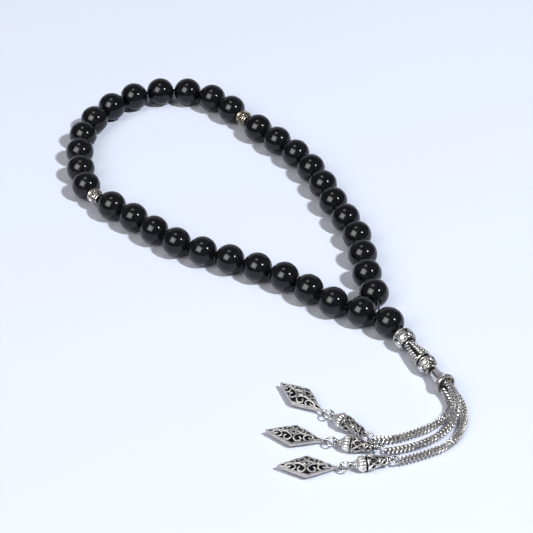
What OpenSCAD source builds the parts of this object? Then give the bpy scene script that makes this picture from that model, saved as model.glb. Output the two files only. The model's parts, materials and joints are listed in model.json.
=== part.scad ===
// Misbaha (prayer beads) of 33 counting beads in three groups of eleven, with two dividers,
// a leader bead, an imam, a bell, and three chain tassels that end in lozenge pendants.
// It lies flat on a surface: +Z is up, z = 0 is the surface, and the origin is under the middle
// of its footprint. The loop lies towards +Y and the tassels towards -Y.

/* [Beads] */
// Diameter of the counting beads and the leader bead
bead_d = 9.85; // [9.2:0.05:9.9]
// Diameter of the hole through a counting bead
bead_bore_d = 1.6; // [1.4:0.1:2.2]
// Diameter of the hole through the leader bead, which takes both ends of the thread
leader_bore_d = 2.6; // [2.4:0.1:3]
// Room along the thread for a bead of the first group
pitch_first = 10.1; // [10.05:0.05:10.15]
// Room along the thread for a bead of the second and third groups
pitch_rest = 10.2; // [10.1:0.05:10.25]

/* [Thread] */
// Diameter of the thread
thread_d = 0.8; // [0.6:0.1:0.9]
// Diameter of the knot at each end of the thread
knot_d = 1.4; // [1:0.1:1.6]

/* [Dividers] */
// Largest diameter of a divider
divider_d = 6; // [5:0.1:6.4]
// Length of a divider along the thread
divider_len = 4.4; // [4:0.1:4.5]

/* [Imam] */
// Diameter of the hollow ball next to the leader bead
ball_d = 6.5; // [6:0.1:6.6]
// Distance from the start of the ball to the base of the cone
vase_len = 14.6; // [14:0.1:15]
// Diameter of the cone at its neck
neck_d = 2.9; // [2.6:0.1:3.2]
// Diameter of the cone at its base
base_d = 5.9; // [5.6:0.1:6.2]
// Diameter of the dome that turns below the cone
imam_dome_d = 5.9; // [5.6:0.1:6]
// Length of that dome with its collar
imam_dome_len = 4.7; // [4.5:0.1:4.8]

/* [Bell] */
// Outer diameter of the bell at its mouth
bell_d = 6.7; // [6.6:0.1:6.8]
// Length of the bell
bell_len = 7.4; // [7:0.1:7.5]
// Thickness of the bell's wall
bell_wall = 0.45; // [0.4:0.05:0.5]

/* [Tassels] */
// Diameter of a chain
chain_d = 2.8; // [2.4:0.1:2.8]
// Length of a cap's cone, from its eye to the seam
cone_len = 8; // [7.6:0.1:8.2]
// Diameter of a cap at the seam
cap_d = 5; // [4.6:0.1:5]
// Length of a cap's fluted dome
cap_dome_len = 3.5; // [3.2:0.1:3.6]
// Wire diameter of the rings and eyes
wire_d = 0.6; // [0.5:0.05:0.6]
// Mean diameter of a link ring
link_d = 2.7; // [2.6:0.1:2.9]
// Mean diameter of a jump ring
jump_d = 3.4; // [3.2:0.1:3.6]

/* [Pendants] */
// Length of a pendant's lozenge from tip to tip
pendant_len = 17.6; // [16:0.1:18]
// Width of a pendant's lozenge
pendant_w = 8.2; // [7:0.1:8.4]
// Thickness of a pendant at its rim
pendant_rim = 1.4; // [1:0.1:1.6]
// Thickness of a pendant at its middle
pendant_t = 3.8; // [3:0.1:4]

/* [Hidden] */
GROUP = 11;
BEADS = 3 * GROUP;
TASSELS = 3;
silver = "#b9b7b2";
dark_silver = "#8e8b86";
bronze = "#a98c63";
onyx = "#17171a";
thread_black = "#1d1b1b";

up = [0, 0, 1];
bore_fn = 32;
round_fn = 64;

// ---- Curves -------------------------------------------------------------------------------
function unit(v) = v / norm(v);
function curve_point(a, b, c, d, t) =
  0.5 * (2 * b + (c - a) * t + (2 * a - 5 * b + 4 * c - d) * t * t + (3 * b - a - 3 * c + d) * t * t * t);

// A smooth line through all the points p, with n steps between neighbours
function smooth(p, n) =
  let (m = len(p) - 1)
  concat(
    [for (i = [0:m - 1], k = [0:n - 1])
      curve_point(i == 0 ? 2 * p[0] - p[1] : p[i - 1], p[i], p[i + 1],
                  i == m - 1 ? 2 * p[m] - p[m - 1] : p[i + 2], k / n)],
    [p[m]]
  );

// The first stretch of the line, from i on, that ends at least step away from the point
function stretch(line, from, step, i) =
  i + 2 >= len(line) || norm(line[i + 1] - from) >= step ? i : stretch(line, from, step, i + 1);

// The place on stretch i that is exactly step away from the point
function place_on(line, from, step, i) =
  let (d = line[i + 1] - line[i], f = line[i] - from)
  let (a = d * d, b = 2 * f * d, c = f * f - step * step)
  line[i] + d * ((-b + sqrt(b * b - 4 * a * c)) / (2 * a));

// Places along the line, each the given straight step from the one before
function walk(line, steps, from, i = 0, k = 0) =
  k == len(steps) ? [from] :
  let (j = stretch(line, from, steps[k], i))
  concat([from], walk(line, steps, place_on(line, from, steps[k], j), j, k + 1));

// ---- Where the strung pieces lie ----------------------------------------------------------
bead_z = bead_d / 2;
divider_pitch = divider_len + 0.7;

// The thread's route round the loop, from the leader bead back to it
loop_route = [
  [40, -31.5], [31.5, -28], [21.5, -21.5], [12, -12.5], [-12.5, -0.5], [-26.5, 6.5], [-40, 19.5], [-55, 32],
  [-59, 40.5], [-61, 56.5], [-60.5, 70.5], [-51, 86], [-42.5, 92.5], [-30.5, 95.5], [-20, 94], [-11, 87.5],
  [0.5, 73], [15, 57], [23, 42.5], [30, 22], [35.5, 11], [38, -12.5], [41.5, -27.5], [43, -35]
];
loop_line = smooth(loop_route, 24);
rooms = concat(
  [for (i = [1:GROUP]) pitch_first], [divider_pitch],
  [for (i = [1:GROUP]) pitch_rest], [divider_pitch],
  [for (i = [1:GROUP]) pitch_rest]
);
// The gaps between the pieces: piece i sits between gap i and gap i + 1
gaps = [for (p = walk(loop_line, rooms, loop_line[0])) [p.x, p.y, bead_z]];
function slot_of_bead(i) = i - 1 + floor((i - 1) / GROUP);
function slot_of_divider(k) = k * GROUP + k - 1;
function middle(slot) = (gaps[slot] + gaps[slot + 1]) / 2;
function along(slot) = unit(gaps[slot + 1] - gaps[slot]);

leader_in = [40.4, -31.3, 5.15];
leader_out = [47.6, -38.5, 4.7];
leader_mid = [44, -34.9, bead_z];
leader_dir = unit(leader_out - leader_in);

// ---- Where the imam and the bell lie ------------------------------------------------------
imam_turn = -60.5;
imam_slope = 2.6;
imam_dir = [cos(imam_turn) * cos(imam_slope), sin(imam_turn) * cos(imam_slope), -sin(imam_slope)];
imam_start = [47.1, -39, 3.95];
bell_turn = -62;
bell_slope = 4;
bell_dir = [cos(bell_turn) * cos(bell_slope), sin(bell_turn) * cos(bell_slope), sin(bell_slope)];
seam = 0.15;
dome_start = vase_len + seam;
bell_gap = 0.4;
bell_start = dome_start + imam_dome_len + bell_gap;
pin_d = 0.9;
pin_head_r = 0.95;
pin_head_at = bell_start + 1;
bell_pivot = imam_start + imam_dir * pin_head_at;
bell_base = bell_pivot - bell_dir;
bell_mouth = bell_base + bell_dir * bell_len;
bell_side = unit(cross(bell_dir, up));
bell_up = cross(bell_side, bell_dir);
// The three chains start on a triangle inside the bell's mouth: low left, top, low right
ring_r = 1.55;
ring_depth = 0.9;
chain_turns = [-150, 90, -30];
function chain_spot(k) =
  bell_mouth - bell_dir * ring_depth
  + ring_r * (bell_side * -cos(chain_turns[k]) + bell_up * sin(chain_turns[k]));
function chain_start(k) = chain_spot(k) + bell_dir * (wire_d / 2 + 0.15);

// ---- Where the tassels lie ----------------------------------------------------------------
// Each chain's route after the bell, along the surface, from the inner chain to the outer one.
// The middle chain comes out on top of the others and comes down between them.
low = chain_d / 2;
chain_routes = [
  [[60.6, -67, 1.7], [61, -70.6, low], [59.3, -74.8, low], [54.3, -79.5, low], [48.5, -82.6, low],
   [43.1, -84.6, low], [37.5, -85, low]],
  [[62.1, -66.7, 4.6], [62.9, -70.6, 4.1], [62.6, -74.7, 3.6], [60.6, -79, 2], [56.6, -83.3, low],
   [51, -86.8, low], [45.6, -88.8, low], [41.3, -89.7, low]],
  [[63.6, -66, 1.7], [64.9, -70.3, low], [65, -76, low], [62.5, -83.3, low], [57.7, -88.2, low],
   [51.3, -91.5, low], [45.4, -93.8, low]]
];
function chain_line(k) = smooth(concat([chain_start(k)], chain_routes[k]), 12);
function chain_end(k) = chain_routes[k][len(chain_routes[k]) - 1];

cap_z = 2.55;
pendant_z = pendant_t / 2;
// Directions on the surface of each tassel's link ring, cap, jump ring and pendant
link_turn = [150, 176, 190];
cap_turn = [141, 168, 191];
jump_turn = [142, 164, 186];
pendant_turn = [135, 166, 178];
link_hook = 0.6;
end_eye_at = cone_len + cap_dome_len + 1.2;

function flat_dir(turn) = [cos(turn), sin(turn), 0];
// A direction that turns to the given side and rises by the height over the length
function rising(turn, height, length) =
  let (s = height / length) [cos(turn) * sqrt(1 - s * s), sin(turn) * sqrt(1 - s * s), s];
function link_dir(k) = rising(link_turn[k], cap_z - low, link_hook + link_d);
function link_pivot(k) = chain_end(k) + link_dir(k) * link_hook;
function cap_eye(k) = link_pivot(k) + link_dir(k) * link_d;
function cap_dir(k) = flat_dir(cap_turn[k]);
function end_eye(k) = cap_eye(k) + cap_dir(k) * end_eye_at;
function jump_dir(k) = rising(jump_turn[k], pendant_z - cap_z, jump_d);
function pendant_eye(k) = end_eye(k) + jump_dir(k) * jump_d;
function pendant_dir(k) = flat_dir(pendant_turn[k]);

// ---- Helpers ------------------------------------------------------------------------------
// Puts a shape that stands on +Z at a point, along a direction. Its +Y stays level.
module aim(point, direction) {
  translate(point)
    rotate([0, acos(direction.z / norm(direction)), atan2(direction.y, direction.x)])
      children();
}

module ring(mean_d, wire) {
  rotate_extrude($fn = round_fn)
    translate([mean_d / 2, 0])
      circle(d = wire, $fn = bore_fn);
}

// A ring whose plane holds the local Z axis and the local Y axis
module upright_ring(mean_d, wire) {
  rotate([0, 90, 0]) ring(mean_d, wire);
}

// A solid tube with eight sides along the points, with its own radius at each point
module tube(points, radii) {
  sides = 8;
  n = len(points);
  shell = [for (i = [0:n - 1])
    let (t = unit(points[min(i + 1, n - 1)] - points[max(i - 1, 0)]))
    let (side = unit(cross(t, up)))
    let (lift = cross(side, t))
    for (j = [0:sides - 1])
      let (a = 360 * (j + 0.5) / sides)
      points[i] + radii[i] * (cos(a) * side + sin(a) * lift)];
  walls = [for (i = [0:n - 2], j = [0:sides - 1])
    let (a = i * sides + j, b = i * sides + (j + 1) % sides)
    each [[a, b, a + sides], [b, b + sides, a + sides]]];
  near_end = [[for (j = [sides - 1:-1:0]) j]];
  far_end = [[for (j = [0:sides - 1]) (n - 1) * sides + j]];
  polyhedron(points = shell, faces = concat(walls, near_end, far_end));
}

// ---- The string of beads ------------------------------------------------------------------
module bead(slot) {
  color(onyx) aim(middle(slot), along(slot)) drilled_ball(bead_bore_d);
}

module drilled_ball(bore_d) {
  mouth = 0.35;
  flat = sqrt(bead_d * bead_d - bore_d * bore_d) / 2;
  difference() {
    sphere(d = bead_d, $fn = round_fn);
    cylinder(d = bore_d, h = bead_d + 2, center = true, $fn = bore_fn);
    for (side = [0, 180]) {
      rotate([side, 0, 0])
        translate([0, 0, flat - mouth])
          cylinder(d1 = bore_d, d2 = bore_d + 4 * mouth, h = 2 * mouth, $fn = bore_fn);
    }
  }
}

module leader_bead() {
  color(onyx) aim(leader_mid, leader_dir) drilled_ball(leader_bore_d);
}

// A drum with a rope rim at each end and a carved belt between them
module divider(k) {
  slot = slot_of_divider(k);
  half = divider_len / 2;
  r = divider_d / 2;
  tint = k == 1 ? silver : bronze;
  color(tint) aim(middle(slot), along(slot))
    difference() {
      rotate_extrude($fn = round_fn)
        polygon([
          [0, -half], [0.62 * r, -half], [0.78 * r, -half + 0.25], [0.78 * r, -half + 0.7],
          [0.7 * r, -half + 0.85], [r, -half + 1.3], [r, half - 1.3], [0.7 * r, half - 0.85],
          [0.78 * r, half - 0.7], [0.78 * r, half - 0.25], [0.62 * r, half], [0, half]
        ]);
      cylinder(d = bead_bore_d, h = divider_len + 2, center = true, $fn = bore_fn);
    }
}

// Both ends run through the leader bead into the hollow ball of the imam and are knotted there
module thread() {
  side = unit(cross(leader_dir, up));
  apart = 0.47;
  r = thread_d / 2;
  knot = knot_d / 2;
  function end_run(hand, depth) =
    let (shift = side * apart * hand, last = imam_start + imam_dir * depth + shift)
    [last, last - imam_dir * 0.2, last - imam_dir * 0.6, last - imam_dir * 0.9, last - imam_dir * 1.2,
     imam_start + imam_dir * 0.3 + shift, leader_out - leader_dir * 0.4 + shift];
  function end_radii() = [0.5 * knot, 0.9 * knot, knot, 0.7 * knot, r, r, r];
  start_run = end_run(1, 2.6);
  finish_run = end_run(-1, 4.2);
  start_in = leader_in + leader_dir * 0.6 + side * apart;
  finish_in = leader_in + leader_dir * 0.6 - side * apart;
  last_gap = gaps[len(gaps) - 1];
  path = concat(
    start_run, [start_in], gaps, [last_gap + [0.15, -1.9, 0.1], finish_in],
    [for (i = [len(finish_run) - 1:-1:0]) finish_run[i]]
  );
  radii = concat(
    end_radii(), [r], [for (g = gaps) r], [r, r],
    [for (i = [len(finish_run) - 1:-1:0]) end_radii()[i]]
  );
  color(thread_black) tube(path, radii);
}

// ---- The imam -----------------------------------------------------------------------------
// A hollow ball with wire rings round its mouth, and a cone that flares to its base
module imam_vase() {
  ball_r = ball_d / 2;
  neck_at = ball_d - 0.35;
  hollow_r = ball_r - 0.7;
  mouth_d = 2.7;
  color(silver) aim(imam_start, imam_dir)
    difference() {
      union() {
        translate([0, 0, ball_r]) sphere(d = ball_d, $fn = round_fn);
        for (step = [0:2]) {
          translate([0, 0, 0.75 + 0.65 * step]) ring(2 * (2 + 0.42 * step), 0.55);
        }
        translate([0, 0, neck_at - 0.6])
          cylinder(d1 = neck_d, d2 = base_d, h = vase_len - neck_at + 0.6, $fn = round_fn);
        for (step = [0:5]) {
          z = neck_at + 0.35 + 1.42 * step;
          ring_d = neck_d + (base_d - neck_d) * (z - neck_at + 0.6) / (vase_len - neck_at + 0.6);
          translate([0, 0, z]) ring(ring_d - 0.2, 0.6);
        }
      }
      translate([0, 0, ball_r]) sphere(r = hollow_r, $fn = round_fn);
      translate([0, 0, -1]) cylinder(d = mouth_d, h = ball_r, $fn = bore_fn);
      cylinder(d = pin_d + 0.06, h = vase_len + 1, $fn = bore_fn);
    }
}

// A domed cap that turns on the pin below the cone, with a collar at its end
module imam_dome() {
  r = imam_dome_d / 2;
  collar = 0.6;
  swell = imam_dome_len - collar;
  color(silver) aim(imam_start + imam_dir * dome_start, imam_dir)
    difference() {
      union() {
        intersection() {
          translate([0, 0, 1.5]) sphere(r = r, $fn = round_fn);
          cylinder(r = r + 1, h = swell, $fn = round_fn);
        }
        translate([0, 0, swell - 0.4]) cylinder(r = 1.7, h = collar + 0.4, $fn = round_fn);
      }
      translate([0, 0, -1]) cylinder(d = pin_d + 0.1, h = imam_dome_len + 2, $fn = bore_fn);
    }
}

// A rivet: a flat head inside the hollow ball, a shank, and a ball head inside the bell
module swivel_pin() {
  head_h = 0.4;
  floor_at = ball_d / 2 + sqrt(pow(ball_d / 2 - 0.7, 2) - 0.8 * 0.8) - 0.03;
  color(dark_silver) aim(imam_start, imam_dir)
    union() {
      translate([0, 0, floor_at - head_h]) cylinder(d = 1.6, h = head_h, $fn = bore_fn);
      translate([0, 0, floor_at - head_h / 2])
        cylinder(d = pin_d, h = pin_head_at - floor_at + head_h / 2, $fn = bore_fn);
      translate([0, 0, pin_head_at]) sphere(r = pin_head_r, $fn = bore_fn);
    }
}

// ---- The bell -----------------------------------------------------------------------------
// A smooth flared cone that swings on the ball head of the pin and hides the chains' first links
module chain_bell() {
  r = bell_d / 2;
  lip = 0.3;
  color(silver) aim(bell_base, bell_dir)
    rotate_extrude($fn = round_fn)
      polygon([
        [0.78, 0], [1.1, 0], [1.55, 0.45], [1.62, 1.6], [1.9, 3.2], [2.35, 4.9], [r - 0.35, bell_len - 1],
        [r - 0.15, bell_len - 0.5], [r, bell_len - 0.25], [r, bell_len], [r - lip - bell_wall, bell_len],
        [r - 0.35 - bell_wall, bell_len - 1], [2.35 - bell_wall, 4.9], [1.9 - bell_wall, 3.2],
        [1.12, 1.9], [1.12, 0.45], [0.78, 0.38]
      ]);
}

// The ring just inside the bell's mouth that carries the chains, on a bridge to the wall
module chain_ring() {
  inner_r = bell_d / 2 - 0.35 - bell_wall;
  color(dark_silver) aim(bell_mouth - bell_dir * ring_depth, bell_dir)
    union() {
      ring(2 * ring_r, wire_d);
      for (turn = [0, 120, 240]) {
        rotate([0, 0, turn])
          translate([ring_r, 0, 0])
            rotate([0, 90, 0])
              cylinder(d = 0.5, h = inner_r - ring_r - 0.05, $fn = bore_fn);
      }
    }
}

// ---- The tassels --------------------------------------------------------------------------
module chain(k) {
  line = chain_line(k);
  rings = 11;
  last = len(line) - 1;
  path = concat(
    [line[0], line[5]], [for (i = [1:rings - 3]) line[round(5 + (last - 5) * i / (rings - 2))]], [line[last]]
  );
  r = chain_d / 2;
  radii = concat([0.35 * r, 0.6 * r], [for (i = [1:rings - 3]) r], [0.55 * r]);
  color(silver) tube(path, radii);
}

module link_ring(k) {
  color(silver) aim(link_pivot(k) + link_dir(k) * link_d / 2, link_dir(k)) upright_ring(link_d, wire_d);
}

// Cone with a lattice waist and a flare, an eye at its small end, and a pin that runs on through
// the dome to an eye beyond it
module cap_cone(k) {
  r = cap_d / 2;
  eye_d = 1.5;
  end_eye_d = 1.65;
  body_at = eye_d / 2;
  color(silver) aim(cap_eye(k), cap_dir(k))
    union() {
      rotate([90, 0, 0]) ring(eye_d, wire_d - 0.05);
      rotate_extrude($fn = round_fn)
        polygon([
          [0, body_at], [0.55, body_at], [0.95, body_at + 0.35], [1.2, body_at + 0.7], [1.45, body_at + 1.2],
          [1.45, body_at + 2.7], [1.75, body_at + 2.95], [1.75, body_at + 3.45], [1.55, body_at + 3.7],
          [r - 0.1, cone_len - 0.4], [r, cone_len - 0.3], [r, cone_len], [0, cone_len]
        ]);
      translate([0, 0, cone_len - 0.1])
        cylinder(d = pin_d, h = end_eye_at - end_eye_d / 2 - cone_len + 0.1, $fn = bore_fn);
      translate([0, 0, end_eye_at]) rotate([90, 0, 0]) ring(end_eye_d, wire_d);
    }
}

// Fluted dome that turns on the cap's pin
module cap_dome(k) {
  r = cap_d / 2 - 0.05;
  color(silver) aim(cap_eye(k) + cap_dir(k) * (cone_len + 0.1), cap_dir(k))
    difference() {
      rotate_extrude($fn = round_fn)
        polygon([
          [0, 0], [r - 0.35, 0], [r - 0.1, 0.3], [r, 0.9], [r - 0.05, 1.5], [r - 0.4, 2.15],
          [r - 1, 2.65], [0.95, 2.95], [1, cap_dome_len - 0.15], [0.85, cap_dome_len], [0, cap_dome_len]
        ]);
      translate([0, 0, -1]) cylinder(d = pin_d + 0.1, h = cap_dome_len + 2, $fn = bore_fn);
    }
}

module jump_ring(k) {
  color(silver) aim(end_eye(k) + jump_dir(k) * jump_d / 2, jump_dir(k)) upright_ring(jump_d, wire_d);
}

// A lozenge that swells to its middle on both faces, with an eye at its near tip
module pendant(k) {
  eye_d = 1.65;
  tip_at = eye_d / 2 + 0.1;
  half_w = pendant_w / 2;
  half_rim = pendant_rim / 2;
  tip_rim = 0.55 * half_rim;
  mid = tip_at + pendant_len / 2;
  far = tip_at + pendant_len;
  corners = [
    [-tip_rim, 0, tip_at], [tip_rim, 0, tip_at], [-half_rim, half_w, mid], [half_rim, half_w, mid],
    [-tip_rim, 0, far], [tip_rim, 0, far], [-half_rim, -half_w, mid], [half_rim, -half_w, mid],
    [-pendant_t / 2, 0, mid], [pendant_t / 2, 0, mid]
  ];
  rim = [for (i = [0:3]) let (a = 2 * i, b = (2 * i + 2) % 8) each [[b, a, a + 1], [b + 1, b, a + 1]]];
  faces = [for (i = [0:3]) let (a = 2 * i, b = (2 * i + 2) % 8) each [[a, b, 8], [b + 1, a + 1, 9]]];
  color(silver) aim(pendant_eye(k), pendant_dir(k))
    union() {
      rotate([90, 0, 0]) ring(eye_d, wire_d);
      translate([0, 0, eye_d / 2]) cylinder(d = 0.6, h = 1.4, $fn = bore_fn);
      polyhedron(points = corners, faces = concat(rim, faces));
    }
}

// ---- Drawing ------------------------------------------------------------------------------
thread();
for (i = [1:BEADS]) {
  bead(slot_of_bead(i));
}
leader_bead();
for (k = [1:2]) {
  divider(k);
}
imam_vase();
imam_dome();
swivel_pin();
chain_bell();
chain_ring();
for (k = [0:TASSELS - 1]) {
  chain(k);
  link_ring(k);
  cap_cone(k);
  cap_dome(k);
  jump_ring(k);
  pendant(k);
}
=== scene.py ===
"""Looks of a misbaha: onyx beads on a thread, two dividers, a leader bead, a worked silver imam with
its bell, and three foxtail chains that carry caps and enamelled lozenge pendants.

Every shape is worked out in millimetres in its own frame, with +Z along the piece, and is then
placed in the row frame, in metres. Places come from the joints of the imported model, and the chains'
routes from the CAD."""
import json
from math import acos, asin, cos, pi, radians, sin, sqrt

import bmesh
import bpy
from mathutils import Matrix, Vector


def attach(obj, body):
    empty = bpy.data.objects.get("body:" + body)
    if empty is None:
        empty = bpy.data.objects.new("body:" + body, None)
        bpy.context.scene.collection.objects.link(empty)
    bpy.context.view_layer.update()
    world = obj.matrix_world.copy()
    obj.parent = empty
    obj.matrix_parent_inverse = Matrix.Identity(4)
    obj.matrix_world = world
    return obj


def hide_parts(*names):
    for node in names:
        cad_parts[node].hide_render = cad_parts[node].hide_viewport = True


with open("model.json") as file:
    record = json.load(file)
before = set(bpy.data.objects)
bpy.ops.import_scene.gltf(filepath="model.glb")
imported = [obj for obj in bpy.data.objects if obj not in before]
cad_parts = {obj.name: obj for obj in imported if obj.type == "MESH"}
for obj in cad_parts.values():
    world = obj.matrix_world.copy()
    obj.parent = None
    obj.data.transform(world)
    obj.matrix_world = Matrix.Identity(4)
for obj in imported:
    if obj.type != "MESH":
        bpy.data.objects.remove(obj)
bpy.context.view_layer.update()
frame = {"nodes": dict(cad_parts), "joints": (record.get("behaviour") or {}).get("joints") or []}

MM = 0.001
UP = Vector((0, 0, 1))
GROUP = 11
BEADS = 3 * GROUP
TASSELS = ("1", "2", "3")
joints = {joint["child"]: joint for joint in frame["joints"]}


def pivot(body):
    """Where a body's joint is, in millimetres."""
    return Vector(joints[body]["pos_m"]) / MM


def spin_axis(body):
    """The direction of a body's joint axis."""
    return Vector(joints[body]["axis"]).normalized()


# ---- Camera, lights and floor ------------------------------------------------------------------
AIM = Vector((0.005, -0.001, 0))
CAMERA_DISTANCE = 0.670
CAMERA_ELEVATION = radians(39.33)
SENSOR_MM = 36
LENS_MM = 135.87
CLIP_NEAR = 0.01
CLIP_FAR = 100


def make_camera():
    data = bpy.data.cameras.new("camera")
    data.sensor_width = SENSOR_MM
    data.lens = LENS_MM
    data.clip_start = CLIP_NEAR
    data.clip_end = CLIP_FAR
    camera = bpy.data.objects.new("camera", data)
    back = Vector((0, -cos(CAMERA_ELEVATION), sin(CAMERA_ELEVATION)))
    camera.location = AIM + back * CAMERA_DISTANCE
    camera.rotation_euler = (pi / 2 - CAMERA_ELEVATION, 0, 0)
    bpy.context.scene.collection.objects.link(camera)
    bpy.context.scene.camera = camera


def area_lamp(name, direction, distance, size, power, colour, shape="DISK"):
    """An area lamp that faces the middle of the object from the given direction."""
    data = bpy.data.lights.new(name, "AREA")
    data.shape = shape
    data.size = size
    data.energy = power
    data.color = colour
    lamp = bpy.data.objects.new(name, data)
    lamp.location = AIM + Vector(direction).normalized() * distance
    lamp.rotation_euler = (-Vector(direction)).to_track_quat("-Z", "Y").to_euler()
    bpy.context.scene.collection.objects.link(lamp)
    return lamp


def make_lights():
    """A small bright lamp on the right, a soft box on the left and a weak panel overhead. The first two
    only light the surfaces, because the polish mirrors panels of their own."""
    cool, warm = (0.915, 0.955, 1.0), (1.0, 0.96, 0.91)
    key = area_lamp("key", (0.50, -0.34, 0.80), 2.0, 0.19, 47, cool)
    soft_box = area_lamp("soft_box", (-0.52, -0.44, 0.73), 1.6, 1.0, 13, warm, "SQUARE")
    for lamp in (key, soft_box):
        lamp.visible_glossy = False
    area_lamp("overhead", (-0.107, 0.183, 0.978), 1.4, 0.42, 1.9, warm, "SQUARE")
    round_corners, square_corners = 24, 4
    towards_box = (-0.454, -0.524, 0.722)
    mirrored_panel("key_glint", (0.62, -0.35, 0.70), 2.0, 0.32, round_corners, (50, 51, 52))
    mirrored_panel("soft_box_glint", towards_box, 1.60, 1.27, square_corners, (7.9, 7.95, 8.0))
    mirrored_panel("soft_box_edge", towards_box, 1.62, 1.85, square_corners, (2.9, 2.9, 2.95))


def make_world():
    """A weak even light from everywhere, and colours that aren't graded."""
    world = bpy.data.worlds.new("studio")
    bpy.context.scene.world = world
    world.use_nodes = True
    background = world.node_tree.nodes["Background"]
    background.inputs["Color"].default_value = (0.88, 0.91, 1.0, 1)
    background.inputs["Strength"].default_value = 0.14
    bpy.context.scene.view_settings.view_transform = "Standard"


def mirrored_panel(name, direction, distance, size, corners, colour):
    """A glowing panel with that many corners, size across them, that faces the object and only shows in
    what mirrors it."""
    away = Vector(direction).normalized()
    turn = away.to_track_quat("Z", "Y").to_matrix()
    centre = AIM + away * distance
    shape = Shape()
    shape.points = [centre + turn @ Vector(polar(size / 2, a, 0)) for a in turns(corners, pi / corners)]
    shape.faces = [tuple(range(corners))]
    panel = glowing_wall(name, shape, colour)
    panel.visible_camera = False


FLOOR_SIZE = 12.0


def make_floor():
    """A pale floor, a far wall that only the camera sees and a rear panel that only the polish mirrors."""
    half = FLOOR_SIZE / 2
    corners = [(-half, -half, 0), (half, -half, 0), (half, half, 0), (-half, half, 0)]
    mesh = bpy.data.meshes.new("floor")
    mesh.from_pydata(corners, [], [(0, 1, 2, 3)])
    floor = bpy.data.objects.new("floor", mesh)
    mesh.materials.append(floor_material())
    bpy.context.scene.collection.objects.link(floor)
    sides, wall_foot, wall_top = 48, -0.5, 6
    rings = [[polar(half, a, z) for a in turns(sides)] for z in (wall_foot, wall_top)]
    wall_shape = Shape()
    wall_shape.points = [p for ring in rings for p in ring]
    wall_shape.faces = [(j, (j + 1) % sides, sides + (j + 1) % sides, sides + j) for j in range(sides)]
    wall = glowing_wall("backdrop", wall_shape, (0.80, 0.85, 0.97))
    wall.visible_glossy = False
    half_wide, behind, foot, top = 1.2, 1.5, 0.01, 1.0
    panel_shape = Shape()
    panel_shape.points = [(-half_wide, behind, foot), (half_wide, behind, foot),
                          (half_wide, behind, top), (-half_wide, behind, top)]
    panel_shape.faces = [(0, 1, 2, 3)]
    panel = glowing_wall("rear_panel", panel_shape, (0.50, 0.53, 0.60))
    panel.visible_camera = False


def glowing_wall(name, shape, colour):
    """A wall that gives off its own colour and lights nothing."""
    mesh = bpy.data.meshes.new(name)
    mesh.from_pydata(shape.points, [], shape.faces)
    mesh.materials.append(glow_material(name, colour))
    wall = bpy.data.objects.new(name, mesh)
    bpy.context.scene.collection.objects.link(wall)
    wall.visible_diffuse = False
    wall.visible_shadow = False
    return wall


# ---- Materials ---------------------------------------------------------------------------------
def new_material(name):
    """An empty principled material, with the coordinates that its textures use."""
    material = bpy.data.materials.new(name)
    material.use_nodes = True
    tree = material.node_tree
    coordinates = tree.nodes.new("ShaderNodeTexCoord").outputs["Object"]
    return material, tree, tree.nodes["Principled BSDF"], coordinates


def noise(tree, coordinates, scale, detail=4, roughness=0.55):
    node = tree.nodes.new("ShaderNodeTexNoise")
    node.inputs["Scale"].default_value = scale
    node.inputs["Detail"].default_value = detail
    node.inputs["Roughness"].default_value = roughness
    tree.links.new(coordinates, node.inputs["Vector"])
    return node.outputs["Fac"]


def spread(tree, value, low, high, out_low=0.0, out_high=1.0):
    """Stretches the values from low to high over the range from out_low to out_high."""
    node = tree.nodes.new("ShaderNodeMapRange")
    for socket, number in zip(("From Min", "From Max", "To Min", "To Max"), (low, high, out_low, out_high)):
        node.inputs[socket].default_value = number
    tree.links.new(value, node.inputs["Value"])
    return node.outputs["Result"]


def blend_colours(tree, factor, first, second):
    """Goes from the first colour to the second. A colour is three numbers or a socket."""
    node = tree.nodes.new("ShaderNodeMix")
    node.data_type = "RGBA"
    tree.links.new(factor, node.inputs["Factor"])
    for socket, colour in ((node.inputs[6], first), (node.inputs[7], second)):
        if isinstance(colour, tuple):
            socket.default_value = (*colour, 1)
        else:
            tree.links.new(colour, socket)
    return node.outputs[2]


def bump(tree, shader, height, strength, distance_mm):
    node = tree.nodes.new("ShaderNodeBump")
    node.inputs["Strength"].default_value = strength
    node.inputs["Distance"].default_value = distance_mm * MM
    tree.links.new(height, node.inputs["Height"])
    tree.links.new(node.outputs["Normal"], shader.inputs["Normal"])


def floor_material():
    material, tree, shader, coordinates = new_material("pale_floor")
    tone = spread(tree, noise(tree, coordinates, 3), 0.3, 0.7)
    colour = blend_colours(tree, tone, (0.600, 0.632, 0.730), (0.610, 0.642, 0.740))
    tree.links.new(colour, shader.inputs["Base Color"])
    shader.inputs["Roughness"].default_value = 0.9
    shader.inputs["Specular IOR Level"].default_value = 0.1
    bump(tree, shader, noise(tree, coordinates, 900, 2), 0.05, 0.02)
    return material


def glow_material(name, colour):
    material = bpy.data.materials.new(name)
    material.use_nodes = True
    tree = material.node_tree
    tree.nodes.remove(tree.nodes["Principled BSDF"])
    glow = tree.nodes.new("ShaderNodeEmission")
    glow.inputs["Color"].default_value = (*colour, 1)
    tree.links.new(glow.outputs["Emission"], tree.nodes["Material Output"].inputs["Surface"])
    return material


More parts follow.
